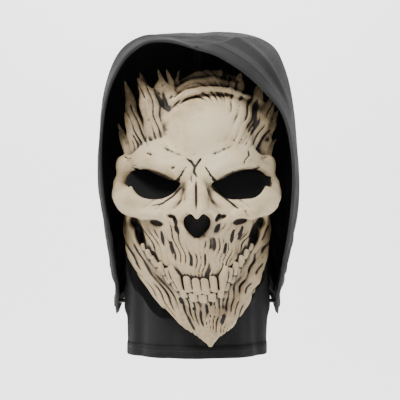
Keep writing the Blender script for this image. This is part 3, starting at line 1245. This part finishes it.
def leather(name, colour):
    paint, shader, make = new_material(name, 0.62, 0.4)
    links = paint.node_tree.links
    where = make("ShaderNodeTexCoord").outputs["Object"]
    grain = make("ShaderNodeTexVoronoi", {"feature": "DISTANCE_TO_EDGE"}, Vector=where,
                 Scale=620.0).outputs["Distance"]
    blotch = make("ShaderNodeTexNoise", Vector=where, Scale=90.0, Detail=3.0).outputs["Fac"]
    pale = tuple(1.9 * c for c in colour)
    links.new(ramp(make, blotch, [(0.3, colour), (0.7, pale)]), shader.inputs["Base Color"])
    bump = make("ShaderNodeBump", Strength=0.35, Distance=0.0004, Height=grain)
    links.new(bump.outputs["Normal"], shader.inputs["Normal"])
    return paint


black_leather = leather("black_leather", (0.016, 0.014, 0.013))
patch_radius, patch_stitch_radius = 16.4, 14.0


def side_hit(tree, sign, y, z, lift):
    """Where a line from the side meets a surface, lifted outwards."""
    spot, _, _, _ = tree.ray_cast(Vector((sign * 200, y, z)), Vector((-sign, 0, 0)))
    x = sign * stud_side if spot is None else spot.x
    return (x + sign * lift, y, z)


for sign, side in ((1, "left"), (-1, "right")):
    ring = [(stud_y + patch_radius * math.cos(a), stud_z + patch_radius * math.sin(a))
            for a in np.linspace(0, 2 * math.pi, 48, False)]
    flat, faces = disc_grid(ring, 8)
    rows = [side_hit(hood_tree, sign, y, z, 0.75) for y, z in flat]
    patch = new_piece("corner_patch_" + side, rows, faces)
    patch.data.materials.append(black_leather)
    give_thickness(patch, 0.0011, 0.0)
    close_piece(patch)
    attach(patch, "hood")
    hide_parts("hood_corner_patches")
    circle = [side_hit(hood_tree, sign, stud_y + patch_stitch_radius * math.cos(a),
                   stud_z + patch_stitch_radius * math.sin(a), 1.45)
              for a in np.linspace(0, 2 * math.pi, 60)]
    ring_stitches = sew("patch_stitches_" + side, [circle], "hood", pitch=2.6, length=1.9)


# ---- Press studs and rivets ------------------------------------------------------------------------------
# Black-lacquered brass: a press stud at each lower corner of the hood, which it turns on, and two rivets
# that hold each end of the head strap. Handling has rubbed the lacquer off their domes.

def lacquered_metal():
    paint, shader, make = new_material("black_lacquered_brass", 0.35, 0.5)
    links = paint.node_tree.links
    where = make("ShaderNodeTexCoord").outputs["Object"]
    rub = make("ShaderNodeTexNoise", Vector=where, Scale=420.0, Detail=5.0, Roughness=0.7).outputs["Fac"]
    worn_colour = ramp(make, rub, [(0.55, (0.018, 0.017, 0.016)), (0.72, (0.20, 0.15, 0.08))])
    links.new(worn_colour, shader.inputs["Base Color"])
    dull = make("ShaderNodeMapRange", Value=rub)
    dull.inputs["To Min"].default_value = 0.28
    dull.inputs["To Max"].default_value = 0.5
    links.new(dull.outputs[0], shader.inputs["Roughness"])
    shader.inputs["Metallic"].default_value = 0.9
    return paint


metal = lacquered_metal()
for node in ("hood_stud_caps", "hood_stud_posts", "strap_rivets"):
    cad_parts[node].data.materials.clear()
    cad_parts[node].data.materials.append(metal)


# ---- Head strap ------------------------------------------------------------------------------------------
# A black ribbed elastic strap, 20 mm wide, that goes round the back of the head. Each end is riveted to the
# casting through a leather tab, and a moulded slider takes up its length.

def elastic_webbing():
    paint, shader, make = new_material("ribbed_elastic", 0.8, 0.25)
    links = paint.node_tree.links
    flat = make("ShaderNodeUVMap", {"uv_map": "pattern"}).outputs["UV"]
    parts = make("ShaderNodeSeparateXYZ", Vector=flat)
    across = make("ShaderNodeMath", {"operation": "MULTIPLY"}, i0=parts.outputs["X"], i1=3700.0).outputs[0]
    ribs = make("ShaderNodeMath", {"operation": "SINE"}, i0=across).outputs[0]
    down = make("ShaderNodeMath", {"operation": "MULTIPLY"}, i0=parts.outputs["Y"], i1=5200.0).outputs[0]
    knit = make("ShaderNodeMath", {"operation": "SINE"}, i0=down).outputs[0]
    height = make("ShaderNodeMath", {"operation": "MULTIPLY_ADD"}, i0=knit, i1=0.35, i2=ribs).outputs[0]
    links.new(ramp(make, height, [(0.0, (0.012, 0.012, 0.013)), (1.0, (0.045, 0.045, 0.048))]),
              shader.inputs["Base Color"])
    bump = make("ShaderNodeBump", Strength=0.6, Distance=0.0004, Height=height)
    links.new(bump.outputs["Normal"], shader.inputs["Normal"])
    return paint


strap_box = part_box("head_strap")
strap_half = 1000 * strap_box[1][0] - 0.7
strap_back = 1000 * strap_box[1][1] - 0.7
strap_low, strap_high = 1000 * strap_box[0][2], 1000 * strap_box[1][2]
strap_start, strap_turn = 1000 * strap_box[0][1], 45.5
bend = [(strap_half - strap_turn + strap_turn * math.cos(a),
         strap_back - strap_turn + strap_turn * math.sin(a), 0)
        for a in np.linspace(0, math.pi / 2, 24)]
strap_path = [(strap_half, strap_start, 0)] + bend + [(-x, y, 0) for x, y, _ in reversed(bend)]
strap_path = even_path(strap_path + [(-strap_half, strap_start, 0)], 2.0)
strap_grid = np.array([[(x, y, z) for z in np.linspace(strap_low, strap_high, 9)] for x, y, _ in strap_path])
strap = sheet_piece("elastic_strap", strap_grid)
strap.data.materials.append(elastic_webbing())
give_thickness(strap, 0.0013, 0.0)
close_piece(strap)
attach(strap, "mask")
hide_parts("head_strap")

for sign, side in ((1, "left"), (-1, "right")):
    low, high = (1000 * np.array(p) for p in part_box("strap_tab_" + side))
    mid_y, mid_z, half_y, half_z, turn = (low[1] + high[1]) / 2, (low[2] + high[2]) / 2, 13.0, 10.0, 2.5
    ring = [(mid_y + sy * (half_y - turn) + turn * math.cos(a),
             mid_z + sz * (half_z - turn) + turn * math.sin(a))
            for sy, sz, start in ((1, 1, 0), (-1, 1, 1), (-1, -1, 2), (1, -1, 3))
            for a in np.linspace(start * math.pi / 2, (start + 1) * math.pi / 2, 6)]
    flat, faces = disc_grid(ring, 3)
    tab_x = (low[0] + high[0]) / 2
    tab = new_piece("strap_tab_leather_" + side, [(tab_x, y, z) for y, z in flat], faces, smooth=False)
    tab.data.materials.append(black_leather)
    give_thickness(tab, 0.0015, 0.0)
    close_piece(tab)
    edge = tab.modifiers.new("edge", "BEVEL")
    edge.width = 0.0003
    edge.segments = 2
    apply_modifiers(tab)
    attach(tab, "mask")
    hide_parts("strap_tab_" + side)
    inner = np.array(ring + ring[:1])
    inner = (mid_y, mid_z) + (inner - (mid_y, mid_z)) * (0.84, 0.8)
    rows = [[(tab_x + k * sign * 0.85, y, z) for y, z in inner] for k in (1, -1)]
    tab_stitches = sew("tab_stitches_" + side, rows[1:], "mask", pitch=2.6,
                       length=1.9, thread=0.28)


def black_plastic():
    paint, shader, make = new_material("black_moulded_plastic", 0.42, 0.5)
    links = paint.node_tree.links
    where = make("ShaderNodeTexCoord").outputs["Object"]
    scuff = make("ShaderNodeTexNoise", Vector=where, Scale=300.0, Detail=5.0, Roughness=0.7).outputs["Fac"]
    scuffed_colour = ramp(make, scuff, [(0.3, (0.012, 0.012, 0.012)), (0.7, (0.026, 0.026, 0.027))])
    links.new(scuffed_colour, shader.inputs["Base Color"])
    bump = make("ShaderNodeBump", Strength=0.15, Distance=0.0002, Height=scuff)
    links.new(bump.outputs["Normal"], shader.inputs["Normal"])
    return paint


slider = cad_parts["strap_slider"]
slider.data.materials.clear()
slider.data.materials.append(black_plastic())


# ---- Foam pads -------------------------------------------------------------------------------------------
# Charcoal polyurethane foam, 8 mm thick, glued inside the brow, the cheeks and the chin. The pads hold the
# casting off the face.

def foam_material():
    paint, shader, make = new_material("charcoal_foam", 0.95, 0.1)
    links = paint.node_tree.links
    where = make("ShaderNodeTexCoord").outputs["Object"]
    cells = make("ShaderNodeTexVoronoi", {"feature": "F1"}, Vector=where, Scale=900.0,
                 Randomness=1.0).outputs["Distance"]
    tone = make("ShaderNodeTexNoise", Vector=where, Scale=60.0, Detail=3.0).outputs["Fac"]
    mixed = make("ShaderNodeMath", {"operation": "MULTIPLY_ADD"}, i0=cells, i1=0.6, i2=tone).outputs[0]
    foam_colour = ramp(make, mixed, [(0.4, (0.022, 0.022, 0.023)), (1.0, (0.085, 0.085, 0.088))])
    links.new(foam_colour, shader.inputs["Base Color"])
    bump = make("ShaderNodeBump", Strength=0.9, Distance=0.0006, Height=cells)
    links.new(bump.outputs["Normal"], shader.inputs["Normal"])
    return paint


foam = foam_material()
foam_thickness, foam_corner = 8.0, 5.0
for node in ("brow_pad", "cheek_pad_left", "cheek_pad_right", "chin_pad"):
    low, high = (1000 * np.array(p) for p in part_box(node))
    reach = np.array((low[0] - 4, -118, low[2] - 4)), np.array((high[0] + 4, high[1] + 14, high[2] + 4))
    window = tuple(slice(*np.searchsorted(line, (a, b)))
                   for line, a, b in zip((clay_x, clay_y, clay_z), *reach))
    under = smooth_clay[window] + wall + 0.5
    mid_x, mid_z = (low[0] + high[0]) / 2, (low[2] + high[2]) / 2
    qx = np.abs(clay_x[window[0]] - mid_x)[:, None, None] - (high[0] - low[0]) / 2 + foam_corner
    qz = np.abs(clay_z[window[2]] - mid_z)[None, None, :] - (high[2] - low[2]) / 2 + foam_corner
    plan = np.hypot(np.maximum(qx, 0), np.maximum(qz, 0)) + np.minimum(np.maximum(qx, qz), 0) - foam_corner
    block = -blend_min(-np.maximum(under, plan), under + foam_thickness, 3.0)
    limit = clay_y[window[1]][None, :, None] - high[1] - 8
    block = np.maximum(block, limit) + 0 * plan
    corner = np.array([line[part][0] for line, part in zip((clay_x, clay_y, clay_z), window)])
    points, faces = field_mesh(block.astype(np.float32), corner, clay_step, 0.0)
    pad = new_piece("foam_" + node, points, faces)
    soften = pad.modifiers.new("soften", "SMOOTH")
    soften.iterations = 3
    apply_modifiers(pad)
    pad.data.shade_smooth()
    pad.data.materials.append(foam)
    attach(pad, "mask")
    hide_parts(node)


# ---- Neck drape ------------------------------------------------------------------------------------------
# A sleeve of thin black cotton in two panels, glued to the casting's rear rim and hanging to the shoulders,
# with a turned hem. It hides the wearer's neck.

drape_cloth = twill_cloth("drape_cotton", (0.006, 0.006, 0.0065), (0.020, 0.020, 0.021), 0.06)
drape_rows, drape_columns = 60, 150
drape_half, drape_front, drape_rear = 90.5, -66.0, 92.0
drape_middle = (drape_front + drape_rear) / 2
drape_top, drape_hem_top = -54.0, -191.0


def drape_place(share, z, sign):
    """A point of the sleeve: share goes from the front seam (0) to the back seam (1)."""
    turn = math.pi * share
    reach = drape_rear - drape_middle
    x = drape_half * np.sin(turn) ** 0.86
    y = drape_middle - reach * np.sign(np.cos(turn)) * np.abs(np.cos(turn)) ** 0.86
    low = smooth_step(-60, -190, z)
    pleat = 0.5 + 0.5 * np.sin(share * 34 + 0.9 * np.sin(share * 11 + 1.1 * sign) + 0.008 * z)
    fine = 0.5 + 0.5 * np.sin(share * 71 + 2 * sign + 0.014 * z)
    inward = (4.6 * pleat + 1.3 * fine) * (0.25 + 0.75 * low) * np.sin(turn) ** 0.3
    inward += 9 * smooth_step(-150, -195, z) * smooth_step(-30, 30, y)
    away = math.hypot(x, y - drape_middle) + 1e-6
    scale = 1 - inward / away * smooth_step(8, 26, math.hypot(y - stud_y, z - stud_z))
    return sign * max(x * scale, 0.02), drape_middle + (y - drape_middle) * scale, z


for sign, side in ((1, "left"), (-1, "right")):
    grid = np.empty((drape_rows, drape_columns, 3))
    for j, share in enumerate(np.linspace(0, 1, drape_columns)):
        y = drape_place(share, drape_hem_top, sign)[1]
        top = min(drape_top, -51 + 1.376 * (y - 19))
        for i, z in enumerate(np.linspace(top, drape_hem_top, drape_rows)):
            grid[i, j] = drape_place(share, z, sign)
    drape = sheet_piece("drape_cloth_" + side, grid)
    drape.data.materials.append(drape_cloth)
    give_thickness(drape, 0.0009, 0.0)
    close_piece(drape)
    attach(drape, "mask")
    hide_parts("neck_drape_" + side)

hem_shares = np.linspace(0, 1, 150)
hem_loop = [(share, 1) for share in hem_shares[1:]] + [(share, -1) for share in hem_shares[-2::-1]]
fold = [(0.9, drape_hem_top), (0.9, -197.0), (0.9, -204.0), (0.3, -205.6), (-0.6, -205.6), (-0.9, -204.0),
        (-0.9, -197.0), (-0.9, drape_hem_top)]
ring_grid = np.empty((len(hem_loop), len(fold), 3))
for i, (share, sign) in enumerate(hem_loop):
    for j, (out, z) in enumerate(fold):
        x, y, _ = drape_place(share, z, sign)
        grow = 1 + out / math.hypot(x, y - drape_middle)
        ring_grid[i, j] = x * grow, drape_middle + (y - drape_middle) * grow, z
ring_grid = np.vstack((ring_grid, ring_grid[:1]))
neck_hem = sheet_piece("drape_hem", ring_grid)
neck_hem.data.materials.append(drape_cloth)
give_thickness(neck_hem, 0.0007, 0.0)
close_piece(neck_hem)
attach(neck_hem, "mask")
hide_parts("neck_hem")
line = [tuple(p) for p in ring_grid[:, 1] + (ring_grid[:, 1] - ring_grid[:, 6]) * 0.18]
neck_stitches = sew("drape_hem_stitches", [line], "mask")
